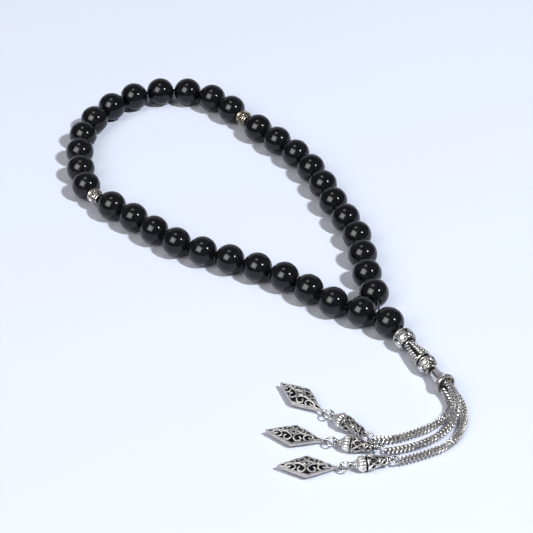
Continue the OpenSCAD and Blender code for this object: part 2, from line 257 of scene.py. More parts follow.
def onyx_material():
    """Black stone with a mirror polish, faint clouding and fine handling marks."""
    material, tree, shader, coordinates = new_material("onyx")
    clouds = spread(tree, noise(tree, coordinates, 420, 8, 0.7), 0.48, 0.72)
    colour = blend_colours(tree, clouds, (0.0030, 0.0031, 0.0042), (0.0100, 0.0102, 0.0125))
    tree.links.new(colour, shader.inputs["Base Color"])
    marks = spread(tree, noise(tree, coordinates, 900, 5), 0.5, 0.8, 0.10, 0.15)
    tree.links.new(marks, shader.inputs["Roughness"])
    shader.inputs["IOR"].default_value = 1.40
    bump(tree, shader, noise(tree, coordinates, 260, 2), 0.12, 0.02)
    return material


def thread_material():
    """Matt black cord."""
    material, tree, shader, coordinates = new_material("thread")
    fibres = spread(tree, noise(tree, coordinates, 5000, 3), 0.3, 0.7)
    colour = blend_colours(tree, fibres, (0.010, 0.009, 0.009), (0.035, 0.032, 0.032))
    tree.links.new(colour, shader.inputs["Base Color"])
    shader.inputs["Roughness"].default_value = 0.85
    shader.inputs["Sheen Weight"].default_value = 0.3
    bump(tree, shader, fibres, 0.5, 0.05)
    return material


RECESS_ROUGHNESS = 0.5


def silver_material(name, light, dark, polish, wear, recess_mm, deep=0.36, open_to=0.92):
    """Metal painted darker within recess_mm of a neighbouring face or part: painted shade from the
    occlusion there, laid over the patina in the hollows. polish is its roughness away from them, and wear
    how much tarnish clouds it. It's all dark where less than deep of the sky above it is open, and all light
    from open_to."""
    material, tree, shader, coordinates = new_material(name)
    tarnish = spread(tree, noise(tree, coordinates, 420, 6, 0.65), 0.42, 0.72, 0.0, wear)
    unshaded_colour = blend_colours(tree, tarnish, light, dark)
    # Painted shade: the colour goes towards dark where neighbouring faces or parts lie within recess_mm, over
    # the patina
    recess = tree.nodes.new("ShaderNodeAmbientOcclusion")
    recess.samples = 8
    recess.inputs["Distance"].default_value = recess_mm * MM
    depth = spread(tree, recess.outputs["AO"], deep, open_to)
    tree.links.new(blend_colours(tree, depth, dark, unshaded_colour), shader.inputs["Base Color"])
    dull = spread(tree, depth, 0.0, 1.0, RECESS_ROUGHNESS, polish)
    grain = tree.nodes.new("ShaderNodeMath")
    grain.operation = "ADD"
    tree.links.new(dull, grain.inputs[0])
    tree.links.new(spread(tree, noise(tree, coordinates, 1600, 4), 0.4, 0.8, -0.02, 0.08), grain.inputs[1])
    tree.links.new(grain.outputs["Value"], shader.inputs["Roughness"])
    shader.inputs["Metallic"].default_value = 1.0
    bump(tree, shader, noise(tree, coordinates, 1100, 5), 0.06, 0.03)
    return material


def enamel_material():
    """Black enamel, slightly uneven, with a soft gloss."""
    material, tree, shader, coordinates = new_material("enamel")
    tone = spread(tree, noise(tree, coordinates, 500, 4), 0.35, 0.7)
    colour = blend_colours(tree, tone, (0.0015, 0.0015, 0.0022), (0.006, 0.006, 0.008))
    tree.links.new(colour, shader.inputs["Base Color"])
    gloss = spread(tree, noise(tree, coordinates, 1500), 0.3, 0.8, 0.30, 0.45)
    tree.links.new(gloss, shader.inputs["Roughness"])
    shader.inputs["IOR"].default_value = 1.22
    bump(tree, shader, noise(tree, coordinates, 1800, 3), 0.3, 0.03)
    return material


# ---- Shapes ------------------------------------------------------------------------------------
def turns(count, start=0.0):
    """Angles evenly round a full turn, in radians."""
    return [start + 2 * pi * i / count for i in range(count)]


def local_frame(point, direction):
    """Puts +Z along the direction at the point, with +Y level and +X on the lower side."""
    z = Vector(direction).normalized()
    y = UP.cross(z).normalized()
    x = y.cross(z)
    return Matrix.Translation(Vector(point)) @ Matrix((x, y, z)).transposed().to_4x4()


def polar(radius, angle, z):
    return (radius * cos(angle), radius * sin(angle), z)


class Shape:
    """Points and faces of one piece, in millimetres."""

    def __init__(self):
        self.points = []
        self.faces = []

    def skin(self, rings, loop=False):
        """Joins rings of equally many points with quads. With loop, the last ring joins the first;
        without it, one face closes each end."""
        first, count, size = len(self.points), len(rings), len(rings[0])
        for ring in rings:
            self.points.extend(tuple(p) for p in ring)
        for i in range(count if loop else count - 1):
            a = first + i * size
            b = first + (i + 1) % count * size
            self.faces.extend((a + j, a + (j + 1) % size, b + (j + 1) % size, b + j) for j in range(size))
        if not loop:
            self.faces.append(tuple(first + j for j in range(size - 1, -1, -1)))
            self.faces.append(tuple(first + (count - 1) * size + j for j in range(size)))

    def lathe(self, profile, sides, closed=True, lobes=None):
        """Turns a profile of (radius, z) round +Z. lobes scales the radius by angle and z."""
        scale = lobes or (lambda angle, z: 1.0)
        self.skin([[polar(r * scale(a, z), a, z) for a in turns(sides)] for r, z in profile], closed)

    def wire(self, path, radius, closed=False, sides=8, facing=None, width=1.0):
        """Sweeps a wire along the path. radius is one number or one for each point. facing gives the
        side that stays outwards, and width stretches the wire across it."""
        path = [Vector(p) for p in path]
        count = len(path)
        radii = radius if isinstance(radius, list) else [radius] * count
        tangents = []
        for i in range(count):
            ahead = path[(i + 1) % count] if closed else path[min(i + 1, count - 1)]
            behind = path[i - 1] if closed or i else path[0]
            tangents.append((ahead - behind).normalized())
        out = tangents[0].orthogonal().normalized()
        rings = []
        for i, tangent in enumerate(tangents):
            out = Vector(facing[i]) if facing else out
            out = (out - tangent * out.dot(tangent)).normalized()
            across = tangent.cross(out)
            spokes = [cos(a) * out + width * sin(a) * across for a in turns(sides)]
            rings.append([path[i] + radii[i] * spoke for spoke in spokes])
        if closed and not facing:
            rings = untwist(rings, path, tangents, radii, sides)
        self.skin(rings, closed)

    def ring(self, mean_radius, wire_radius, z=0.0, sides=64, around=10):
        """A round ring about +Z."""
        self.skin(
            [[polar(mean_radius + wire_radius * cos(b), a, z + wire_radius * sin(b)) for b in turns(around)]
             for a in turns(sides)], True)

    def ball(self, centre, radius, sides=10, stretch=(1, 1, 1), turn=None):
        """A granule: a ball, or an ellipsoid when stretched along the axes of turn."""
        turn = turn or Matrix.Identity(3)
        centre = Vector(centre)
        half = sides // 2
        rings = []
        for i in range(half + 1):
            polar_angle = pi * (i + 0.35) / (half + 0.7)
            ring = []
            for a in turns(sides):
                p = Vector((sin(polar_angle) * cos(a), sin(polar_angle) * sin(a), cos(polar_angle))) * radius
                ring.append(centre + turn @ Vector((p.x * stretch[0], p.y * stretch[1], p.z * stretch[2])))
            rings.append(ring)
        self.skin(rings)

    def include(self, other, matrix):
        """Adds another shape, moved by the matrix."""
        first = len(self.points)
        self.points.extend(tuple(matrix @ Vector(p)) for p in other.points)
        self.faces.extend(tuple(first + i for i in face) for face in other.faces)


def untwist(rings, path, tangents, radii, sides):
    """Turns the rings of a closed wire little by little, so that the last one meets the first."""
    start = (rings[0][0] - path[0]).normalized()
    out = (rings[-1][0] - path[-1]).normalized()
    out = (out - tangents[0] * out.dot(tangents[0])).normalized()
    side = tangents[0].cross(start)
    gap = acos(max(-1, min(1, out.dot(start))))
    gap = -gap if out.dot(side) > 0 else gap
    fixed = []
    for i, ring in enumerate(rings):
        turn = Matrix.Rotation(gap * i / len(rings), 3, tangents[i])
        fixed.append([path[i] + turn @ (p - path[i]) for p in ring])
    return fixed


def make_piece(name, shape, place, body, slot, material, *nodes, crease=40):
    """A mesh object from a shape, in place, riding on its body. nodes are the CAD nodes it replaces, and
    crease is the angle, in degrees, from which an edge stays sharp."""
    mesh = bpy.data.meshes.new(name)
    mesh.from_pydata([(place @ Vector(p)) * MM for p in shape.points], [], shape.faces)
    work = bmesh.new()
    work.from_mesh(mesh)
    bmesh.ops.recalc_face_normals(work, faces=work.faces)
    work.to_mesh(mesh)
    work.free()
    mesh.shade_smooth()
    mesh.set_sharp_from_angle(angle=radians(crease))
    mesh.materials.append(material)
    piece = bpy.data.objects.new(name, mesh)
    bpy.context.scene.collection.objects.link(piece)
    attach(piece, body)
    if nodes:
        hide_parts(*nodes)
    return piece


# ---- The string --------------------------------------------------------------------------------
BEAD_RADIUS = 4.925
BORE_RADIUS = 0.8
LEADER_BORE_RADIUS = 1.3
DIVIDER_HALF = 2.2
THREAD_RADIUS = 0.4
KNOT_RADIUS = 0.6
# How far each end of the thread lies to its side in the leader bead and the imam
HALF_APART = 0.47
# How deep in the imam the two ends of the thread reach
THREAD_DEPTHS = (2.6, 4.2)


def drilled_ball(bore):
    """A ball with a drilled hole whose mouths are rounded over."""
    shape = Shape()
    lip = bore + 0.45
    top = sqrt(BEAD_RADIUS ** 2 - lip ** 2)
    wall = sqrt(BEAD_RADIUS ** 2 - bore ** 2) - 0.42
    rounding = []
    for i in range(6):
        t = i / 5
        corner_r, corner_z = bore + 0.05, top - 0.03
        rounding.append((
            (1 - t) ** 2 * bore + 2 * t * (1 - t) * corner_r + t ** 2 * lip,
            (1 - t) ** 2 * wall + 2 * t * (1 - t) * corner_z + t ** 2 * top,
        ))
    start = asin(lip / BEAD_RADIUS)
    steps = 48
    outside = []
    for i in range(1, steps):
        a = start + (pi - 2 * start) * i / steps
        outside.append((BEAD_RADIUS * sin(a), BEAD_RADIUS * cos(a)))
    bottom = [(r, -z) for r, z in reversed(rounding)]
    inside = [(bore, -wall * 0.5), (bore, 0), (bore, wall * 0.5)]
    shape.lathe(rounding + outside + bottom + inside, 96)
    return shape


def make_beads(onyx):
    ball = drilled_ball(BORE_RADIUS)
    for i in range(1, BEADS + 1):
        name = f"bead_{i:02d}"
        make_piece(f"{name}_stone", ball, local_frame(pivot(name), spin_axis(name)), name, "onyx", onyx, name)
    leader = drilled_ball(LEADER_BORE_RADIUS)
    place = local_frame(pivot("leader_bead"), spin_axis("leader_bead"))
    make_piece("leader_bead_stone", leader, place, "leader_bead", "onyx", onyx, "leader_bead")


def divider_ground():
    """The dark drum under a divider's wirework, with its hole."""
    shape = Shape()
    shape.lathe([(0.8, -2.16), (1.6, -2.18), (1.8, -2.0), (1.85, -1.5), (2.05, -1.1), (2.3, -0.6), (2.35, 0),
                 (2.3, 0.6), (2.05, 1.1), (1.85, 1.5), (1.8, 2.0), (1.6, 2.18), (0.8, 2.16)], 64)
    return shape


def divider_work():
    """Rims, a zigzag belt and rows of granules."""
    shape = Shape()
    for side in (-1, 1):
        shape.ring(2.0, 0.21, side * 1.92, 56, 8)
        shape.ring(2.32, 0.2, side * 1.1, 56, 8)
        for a in turns(9, 0.14 + side * 0.1):
            shape.ball(polar(2.0, a, side * 1.5), 0.27)
    peaks = 7
    zigzag = [polar(2.52, a, 0.62 * cos(peaks * a)) for a in turns(peaks * 12)]
    shape.wire(zigzag, 0.2, closed=True)
    for i, a in enumerate(turns(peaks * 2)):
        shape.ball(polar(2.48, a, 0.42 if i % 2 else -0.42), 0.33)
    return shape


def make_dividers(dark, tints):
    for number in (1, 2):
        name = f"divider_{number}"
        place = local_frame(pivot(name), spin_axis(name))
        slot, tint = tints[number - 1]
        make_piece(f"{name}_ground", divider_ground(), place, name, "silver_dark", dark, name)
        make_piece(f"{name}_work", divider_work(), place, name, slot, tint)


def thread_route():
    """Points along the thread's line, from one knot through every bead and divider to the other."""
    order = [f"bead_{i:02d}" for i in range(1, BEADS + 1)]
    order.insert(2 * GROUP, "divider_2")
    order.insert(GROUP, "divider_1")
    loop = []
    bead_half = 4.7
    for name in order:
        half = DIVIDER_HALF if name.startswith("divider") else bead_half
        loop += [pivot(name) - spin_axis(name) * half, pivot(name) + spin_axis(name) * half]
    leader, along = pivot("leader_bead"), spin_axis("leader_bead")
    side = along.cross(UP).normalized() * HALF_APART
    into = leader - along * 4.5
    out = leader + along * bead_half
    mouth = imam_point(0.3)
    start_end, finish_end = imam_point(THREAD_DEPTHS[0]), imam_point(THREAD_DEPTHS[1])
    start = [start_end + side, mouth + side, out + side, leader + side, into + side]
    finish = [into - side, leader - side, out - side, mouth - side, finish_end - side]
    return start + loop + finish


def smooth_line(points, steps):
    """A smooth line through all the points, with the given steps between neighbours."""
    points = [Vector(p) for p in points]
    ends = [2 * points[0] - points[1]] + points + [2 * points[-1] - points[-2]]
    line = []
    for a, b, c, d in zip(ends, ends[1:], ends[2:], ends[3:]):
        for i in range(steps):
            t = i / steps
            line.append(0.5 * (2 * b + (c - a) * t + (2 * a - 5 * b + 4 * c - d) * t ** 2
                               + (3 * b - a - 3 * c + d) * t ** 3))
    return line + [points[-1]]


def even_line(line, step):
    """The same line with points an even distance apart."""
    lengths = [0.0]
    for a, b in zip(line, line[1:]):
        lengths.append(lengths[-1] + (b - a).length)
    count = max(2, round(lengths[-1] / step))
    points, i = [], 0
    for k in range(count + 1):
        at = lengths[-1] * k / count
        while i < len(line) - 2 and lengths[i + 1] < at:
            i += 1
        share = (at - lengths[i]) / max(lengths[i + 1] - lengths[i], 1e-9)
        points.append(line[i].lerp(line[i + 1], min(share, 1)))
    return points


def make_thread(material):
    """Three twisted plies, and the two knots that stay inside the imam's ball."""
    line = even_line(smooth_line(thread_route(), 6), 0.45)
    shape = Shape()
    ply, plies, lay = THREAD_RADIUS * 0.5, 3, 2.2
    step = (line[1] - line[0]).length
    for strand in range(plies):
        path = []
        for i, point in enumerate(line):
            tangent = (line[min(i + 1, len(line) - 1)] - line[max(i - 1, 0)]).normalized()
            side = tangent.cross(UP).normalized()
            lift = side.cross(tangent)
            phase = 2 * pi * (i * step / lay + strand / plies)
            path.append(point + ply * (cos(phase) * side + sin(phase) * lift))
        shape.wire(path, ply * 1.08, sides=6)
    for end, inward in ((line[0], line[2] - line[0]), (line[-1], line[-3] - line[-1])):
        knot = end + inward.normalized() * KNOT_RADIUS
        shape.ball(knot, KNOT_RADIUS, 12, (1, 1, 0.85))
    make_piece("thread_cord", shape, Matrix.Identity(4), "thread", "thread_black", material, "thread")


# ---- The imam and the bell ---------------------------------------------------------------------
DOME_START = 14.75
DOME_PIVOT = DOME_START + 2
BALL_RADIUS = 3.25
MOUTH_RADIUS = 1.52
NECK_AT = 6.15
VASE_LEN = 14.6
BELL_LEN = 7.4
imam_dir = spin_axis("imam_dome")
imam_start = pivot("imam_dome") - imam_dir * DOME_PIVOT


def imam_point(depth):
    return imam_start + imam_dir * depth


# Where round the imam the first boss sits
BOSS_TURN = radians(214)


def boss(radius, height, wire):
    """A polished dome with a wire round its foot, standing on z = 0."""
    shape = Shape()
    steps = 7
    dome = [(radius * cos(a), height * sin(a)) for a in [pi / 2 * i / steps for i in range(steps)]]
    shape.lathe([(radius * 0.98, -0.35)] + dome + [(0.02, height)], 20, closed=False)
    shape.ring(radius + wire, wire, 0.0, 24, 8)
    return shape


def on_surface(radius, angle, z, slope=0.0):
    """A frame on a turned surface: +Z outwards there, tipped along the piece by slope."""
    out = Vector((cos(angle) * cos(slope), sin(angle) * cos(slope), sin(slope)))
    along = (UP - out * out.z).normalized()
    across = along.cross(out)
    turn = Matrix((across, along, out)).transposed().to_4x4()
    return Matrix.Translation(Vector(polar(radius, angle, z))) @ turn


def cone_radius(z):
    """Radius of the imam's cone under its granules."""
    neck, foot, flare = 1.05, 2.3, 1.15
    return neck + (foot - neck) * ((z - NECK_AT) / (VASE_LEN - NECK_AT)) ** flare


def imam_ground():
    """The dark shell under the wirework: a hollow ball and a cone, drilled through."""
    shape = Shape()
    ball = BALL_RADIUS - 0.3
    bore = 0.48
    mouth = asin(MOUTH_RADIUS / ball)
    neck = asin(1.25 / ball)
    outside = []
    steps = 26
    for i in range(steps + 1):
        a = mouth + (pi - mouth - neck) * i / steps
        outside.append((ball * sin(a), BALL_RADIUS - ball * cos(a)))
    cone = []
    cone_steps = 12
    for i in range(1, cone_steps + 1):
        z = NECK_AT + 0.1 + (VASE_LEN - 0.7 - NECK_AT - 0.1) * i / cone_steps
        cone.append((cone_radius(z), z))
    foot = [(2.5, VASE_LEN - 0.6), (2.2, VASE_LEN - 0.5), (2.15, VASE_LEN), (bore, VASE_LEN)]
    hollow = BALL_RADIUS - 0.6
    inside = [(bore, NECK_AT - 0.3)]
    hollow_steps = 10
    for i in range(hollow_steps + 1):
        a = asin(bore / hollow) + (pi - asin(MOUTH_RADIUS / hollow) - asin(bore / hollow)) * i / hollow_steps
        inside.append((hollow * sin(a), BALL_RADIUS + hollow * cos(a)))
    shape.lathe(outside + cone + foot + inside, 64)
    return shape


def imam_work():
    """Wire rings round the mouth, bosses and granules round the ball, columns of leaning granules down
    the cone, and coils and granules round its foot."""
    shape = Shape()
    for radius, z, wire in ((1.9, 0.55, 0.3), (2.45, 1.02, 0.28), (2.92, 1.6, 0.3)):
        shape.ring(radius, wire, z, 72, 10)
    bosses = 5
    dome = boss(1.42, 0.62, 0.19)
    for a in turns(bosses, BOSS_TURN):
        shape.include(dome, on_surface(2.86, a, BALL_RADIUS + 0.75, radians(13)))
    for a in turns(bosses, BOSS_TURN + pi / bosses):
        shape.ball(polar(2.82, a, BALL_RADIUS - 0.85), 0.36)
        shape.ball(polar(2.62, a, BALL_RADIUS + 1.85), 0.42)
    shape.ring(1.55, 0.24, NECK_AT - 0.1, 48, 8)
    columns, rows = 6, 6
    for i in range(rows):
        z = NECK_AT + 0.65 + 1.2 * i
        size = 0.47 + 0.045 * i
        for a in turns(columns, BOSS_TURN + pi / columns):
            lean = Matrix.Rotation(a, 3, "Z") @ Matrix.Rotation(radians(35), 3, "X")
            shape.ball(polar(cone_radius(z) + 0.3, a, z), size, 12, (0.85, 0.82, 1.3), lean)
    coil = Shape()
    coil.ring(0.52, 0.2, 0.0, 20, 8)
    for a in turns(columns, BOSS_TURN + pi / columns):
        shape.include(coil, on_surface(cone_radius(13.4) + 0.3, a, 13.5, radians(-9)))
    for a in turns(columns, BOSS_TURN):
        shape.ball(polar(cone_radius(13.2) + 0.1, a, 13.3), 0.3, 8)
    shape.ring(2.66, 0.24, VASE_LEN - 0.62, 72, 8)
    return shape


def dome_ground():
    """The dark dome under the wirework, with its hole."""
    shape = Shape()
    radius, centre = 2.68, 1.55
    outside = [(0.5, 0), (2.1, 0), (2.2, 0.25)]
    first, last, steps = radians(-24), radians(66), 13
    for i in range(steps + 1):
        a = first + (last - first) * i / steps
        outside.append((radius * cos(a), centre + radius * sin(a)))
    shape.lathe(outside + [(1.25, 4.15), (1.25, 4.65), (0.5, 4.7)], 64)
    return shape


def dome_work():
    """Bosses and granules round the dome, a plain wire at its start, and a scalloped wire and a disc at
    its end."""
    shape = Shape()
    bosses = 5
    dome = boss(1.3, 0.66, 0.18)
    for a in turns(bosses, BOSS_TURN):
        shape.include(dome, on_surface(2.6, a, 1.85, radians(10)))
    for a in turns(bosses, BOSS_TURN + pi / bosses):
        shape.ball(polar(2.55, a, 0.9), 0.4)
        shape.ball(polar(2.2, a, 3.1), 0.42)
    shape.ring(2.46, 0.24, 0.42, 64, 8)
    scallops = 10
    scalloped = []
    for a in turns(scallops * 12):
        scalloped.append(polar(1.85 - 0.12 * cos(scallops * a), a, 3.62 + 0.2 * cos(scallops * a)))
    shape.wire(scalloped, 0.17, closed=True)
    shape.lathe([(1.0, 4.1), (1.0, 4.55), (2.0, 4.55), (2.12, 4.42), (2.0, 4.28), (1.7, 4.1)], 48)
    return shape


BELL_RADIUS = 3.35
BELL_BAND = 1.3


def bell_shape():
    """A smooth flared cone with a bright edge, and a band of loops and granules round its mouth."""
    band_at = BELL_LEN - BELL_BAND
    outside = [(0.8, 0), (1.05, 0.02), (1.35, 0.15), (1.6, 0.45), (1.68, 0.9), (1.78, 1.5), (1.92, 2.3),
               (2.1, 3.1), (2.32, 3.9), (2.58, 4.7), (2.8, 5.3), (2.98, 5.8), (3.14, band_at - 0.12),
               (3.2, band_at), (3.1, band_at + 0.1), (3.02, band_at + 0.2), (3.05, BELL_LEN - 0.2),
               (3.0, BELL_LEN)]
    inside = [(2.76, BELL_LEN), (2.74, 6.6), (2.62, 6.2), (2.27, 5.4), (1.9, 4.6), (1.7, 3.8), (1.5, 3.0),
              (1.3, 2.0), (1.1, 0.6), (0.8, 0.42)]
    shape = Shape()
    shape.lathe(outside + inside, 96)
    shape.ring(BELL_RADIUS - 0.22, 0.2, BELL_LEN - 0.2, 80, 8)
    loops = 16
    loop = Shape()
    loop.ring(0.42, 0.13, 0.0, 20, 8)
    loop.ball((0, 0, 0.02), 0.2, 8)
    for a in turns(loops):
        shape.include(loop, on_surface(3.12, a, band_at + 0.5, radians(-4)))
    return shape


def make_imam(dark, work, polished):
    place = local_frame(imam_start, imam_dir)
    make_piece("imam_vase_ground", imam_ground(), place, "imam", "silver_dark", dark, "imam_vase")
    make_piece("imam_vase_work", imam_work(), place, "imam", "silver_worked", work)
    place = local_frame(imam_point(DOME_START), imam_dir)
    make_piece("imam_dome_ground", dome_ground(), place, "imam_dome", "silver_dark", dark, "imam_dome")
    make_piece("imam_dome_work", dome_work(), place, "imam_dome", "silver_worked", work)
    place = local_frame(pivot("bell") - bell_dir, bell_dir)
    make_piece("bell_shell", bell_shape(), place, "bell", "silver_polished", polished, "chain_bell")
    for node in ("swivel_pin", "chain_ring"):
        set_material(frame["nodes"][node], dark)


def set_material(piece, material):
    """Gives a CAD piece one of the materials here in place of its own."""
    piece.data.materials.clear()
    piece.data.materials.append(material)


# ---- The chains --------------------------------------------------------------------------------
chain_ring_centre = (pivot("chain_1") + pivot("chain_2") + pivot("chain_3")) / 3
bell_dir = (chain_ring_centre - pivot("bell")).normalized()
CHAIN_LOW = 1.4
# The chains' routes after the bell, in millimetres, as the CAD lays them
CHAIN_ROUTES = {
    "1": [(60.6, -67, 1.7), (61, -70.6, CHAIN_LOW), (59.3, -74.8, CHAIN_LOW), (54.3, -79.5, CHAIN_LOW),
          (48.5, -82.6, CHAIN_LOW), (43.1, -84.6, CHAIN_LOW), (37.5, -85, CHAIN_LOW)],
    "2": [(62.1, -66.7, 4.6), (62.9, -70.6, 4.1), (62.6, -74.7, 3.6), (60.6, -79, 2),
          (56.6, -83.3, CHAIN_LOW), (51, -86.8, CHAIN_LOW), (45.6, -88.8, CHAIN_LOW),
          (41.3, -89.7, CHAIN_LOW)],
    "3": [(63.6, -66, 1.7), (64.9, -70.3, CHAIN_LOW), (65, -76, CHAIN_LOW), (62.5, -83.3, CHAIN_LOW),
          (57.7, -88.2, CHAIN_LOW), (51.3, -91.5, CHAIN_LOW), (45.4, -93.8, CHAIN_LOW)],
}
# How far each chain is rolled about its own line, in degrees
CHAIN_ROLL = {"1": 45, "2": 5, "3": 45}
LINK_PITCH = 0.62
LINK_WIRE = 0.27
# The first loops are this share of the full size, to clear the bell, and reach it after this length
NARROW_START = 0.66
FULL_AFTER = 4.0
# How far each chain's last loops reach over the link ring
OVER_RING = {"1": 0.5, "2": 0.9, "3": 1.2}


def foxtail_loop(centre, forward, wide, flat, size):
    """One loop of a foxtail chain: an oval across the chain whose two ends bend forwards."""
    reach, width, bend = 1.12 * size, 0.66 * size, 1.15
    points = []
    for a in turns(26):
        ahead = bend * abs(cos(a)) ** 1.3
        points.append(centre + forward * ahead + wide * reach * cos(a) + flat * width * sin(a))
    return points


def foxtail_chain(line, roll):
    """Loops a pitch apart along the line, each a quarter turn from the one before."""
    shape = Shape()
    points = even_line(line, LINK_PITCH)
    for i in range(len(points) - 2):
        forward = (points[i + 1] - points[max(i - 1, 0)]).normalized()
        side = forward.cross(UP).normalized()
        lift = side.cross(forward)
        angle = radians(roll) + (pi / 2 if i % 2 else 0)
        wide = cos(angle) * side + sin(angle) * lift
        flat = forward.cross(wide)
        size = min(1, NARROW_START + (1 - NARROW_START) * i * LINK_PITCH / FULL_AFTER)
        shape.wire(foxtail_loop(points[i], forward, wide, flat, size), LINK_WIRE, closed=True, sides=7)
    return shape


def make_chains(material):
    for k in TASSELS:
        body = f"chain_{k}"
        start = pivot(body) + bell_dir * 0.45
        # The last loops close over the link ring, a little past the end of the CAD's chain
        end = Vector(CHAIN_ROUTES[k][-1])
        beyond = end + (end - Vector(CHAIN_ROUTES[k][-2])).normalized() * OVER_RING[k]
        line = smooth_line([start] + CHAIN_ROUTES[k] + [beyond], 16)
        shape = foxtail_chain(line, CHAIN_ROLL[k])
        make_piece(f"{body}_links", shape, Matrix.Identity(4), body, "silver_chain", material, body)


# ---- Rings, caps and pendants ------------------------------------------------------------------
WIRE_RADIUS = 0.3
CAP_RADIUS = 2.5
CONE_LEN = 8.0
DOME_AT = 8.1


def flat_ring(near, far, wire):
    """A closed ring of wire that lies level between two points."""
    shape = Shape()
    middle = (near + far) / 2
    radius = (far - near).length / 2
    ring = Shape()
    ring.ring(radius, wire, 0.0, 56, 12)
    # The ring's own plane holds the line between the points and the level line across it
    ahead = (far - near).normalized()
    level = UP.cross(ahead).normalized()
    normal = ahead.cross(level)
    matrix = Matrix.Translation(middle) @ Matrix((ahead, level, normal)).transposed().to_4x4()
    shape.include(ring, matrix)
    return shape


def upright_eye(shape, z, mean_radius, wire):
    """An eye in the upright plane along the piece."""
    eye = Shape()
    eye.ring(mean_radius, wire, 0.0, 40, 12)
    shape.include(eye, Matrix.Translation((0, 0, z)) @ Matrix.Rotation(pi / 2, 4, "X"))


def cap_radius(z):
    """Radius of a cap's dark core."""
    stops = ((0.75, 0.5), (1.1, 0.9), (1.9, 1.25), (3.5, 1.25), (4.4, 1.4), (7.6, 2.25), (8.0, 2.3))
    for (z0, r0), (z1, r1) in zip(stops, stops[1:]):
        if z <= z1:
            return r0 + (r1 - r0) * max(0, (z - z0) / (z1 - z0))
    return stops[-1][1]


def cap_ground():
    """A cap's dark core, from its first eye to its rim."""
    shape = Shape()
    first, length, steps = 0.75, 6.8, 24
    outside = [(cap_radius(z), z) for z in [first + length * i / steps for i in range(steps + 1)]]
    shape.lathe([(0.02, first)] + outside + [(1.9, 7.6), (1.9, CONE_LEN), (0.02, CONE_LEN)], 48, closed=False)
    return shape


def crossed_wires(shape, start, end, count, half_turn, lift, wire):
    """Wires that cross round the cap between two heights, with granules halfway, where they cross."""
    steps = 12
    for hand in (-1, 1):
        for a in turns(count):
            path = []
            for i in range(steps + 1):
                t = i / steps
                z = start + (end - start) * t
                path.append(polar(cap_radius(z) + lift, a + hand * half_turn * (2 * t - 1), z))
            shape.wire(path, wire, sides=8)
    middle = (start + end) / 2
    for a in turns(count):
        shape.ball(polar(cap_radius(middle) + lift + 0.06, a, middle), wire * 1.45, 10)


def cap_work():
    """Eyes, a waist between bands and a flare, both under crossed wires, and the pin."""
    shape = Shape()
    upright_eye(shape, 0, 0.75, 0.275)
    shape.ring(0.85, 0.22, 0.95, 40, 8)
    shape.ring(1.38, 0.19, 1.75, 48, 8)
    crossed_wires(shape, 1.8, 3.75, 5, pi / 5, 0.08, 0.19)
    shape.ring(1.52, 0.24, 3.98, 56, 10)
    shape.ring(1.62, 0.13, 4.36, 56, 8)
    lattice = 6
    crossed_wires(shape, 4.4, 7.6, lattice, pi / lattice, 0.1, 0.24)
    for a in turns(lattice, pi / lattice):
        shape.ball(polar(cap_radius(4.9) + 0.1, a, 4.85), 0.27, 8)
        shape.ball(polar(cap_radius(7.0) + 0.12, a, 7.15), 0.36, 10)
    shape.ring(CAP_RADIUS - 0.24, 0.23, CONE_LEN - 0.36, 64, 8)
    shape.lathe([(0.02, 7.7), (0.45, 7.7), (0.45, 11.9), (0.02, 11.9)], 20, closed=False)
    upright_eye(shape, 12.7, 0.825, WIRE_RADIUS)
    shape.ring(0.55, 0.22, 11.72, 32, 8)
    return shape


def melon_shape():
    """A fluted dome with a granulated collar, drilled for the pin."""
    shape = Shape()
    flutes = 12
    outside = [(0.5, 0.0), (1.7, 0.0), (2.15, 0.2), (2.36, 0.5), (2.47, 0.95), (2.45, 1.4), (2.28, 1.85),
               (1.97, 2.3), (1.52, 2.66), (1.05, 2.88), (0.95, 3.0), (0.95, 3.4), (0.8, 3.5), (0.5, 3.5)]

    def lobes(angle, z):
        deep = 0.17 * sin(pi * min(1, max(0, (z - 0.02) / 2.85))) ** 0.4 if 0 < z < 2.87 else 0.0
        return 1 - deep * (1 - abs(sin(flutes * angle / 2)) ** 0.42)

    shape.lathe(outside, flutes * 14, lobes=lobes)
    for a in turns(8):
        shape.ball(polar(1.02, a, 3.0), 0.33, 8)
    return shape


def make_caps(dark, work, fluted, polished):
    for k in TASSELS:
        link, eye, end = pivot(f"link_ring_{k}"), pivot(f"cap_cone_{k}"), pivot(f"jump_ring_{k}")
        pendant_eye = pivot(f"pendant_{k}")
        along = (end - eye).normalized()
        place = local_frame(eye, along)
        body = f"cap_cone_{k}"
        make_piece(f"{body}_ground", cap_ground(), place, body, "silver_dark", dark, body)
        make_piece(f"{body}_work", cap_work(), place, body, "silver_worked", work)
        body = f"cap_dome_{k}"
        place = local_frame(eye + along * DOME_AT, along)
        make_piece(f"{body}_melon", melon_shape(), place, body, "silver_worked", fluted, body)
        for body, near, far in ((f"link_ring_{k}", link, eye), (f"jump_ring_{k}", end, pendant_eye)):
            ring = flat_ring(near, far, WIRE_RADIUS)
            make_piece(f"{body}_wire", ring, Matrix.Identity(4), body, "silver_polished", polished, body)


# Where the lozenge starts, past the middle of its eye
TIP_AT = 0.925
HALF_LEN = 8.8
HALF_WIDTH = 4.1
HALF_THICK = 1.9
# Half the thickness of the border at the lozenge's sides, and the share that it loses towards its points
HALF_RIM = 0.52
RIM_THINS = 0.42
# How far out the recess reaches, as a share of the lozenge
RECESS = 0.885
RECESS_DEPTH = 0.35
# 1 would give straight sides and 2 an ellipse
ROUNDNESS = 1.06


def lozenge_share(along, across):
    """How far out a place on the pendant's face is: 0 at the middle and 1 at the edge."""
    a, b = abs(along) / HALF_LEN, abs(across) / HALF_WIDTH
    return (a ** ROUNDNESS + b ** ROUNDNESS) ** (1 / ROUNDNESS)


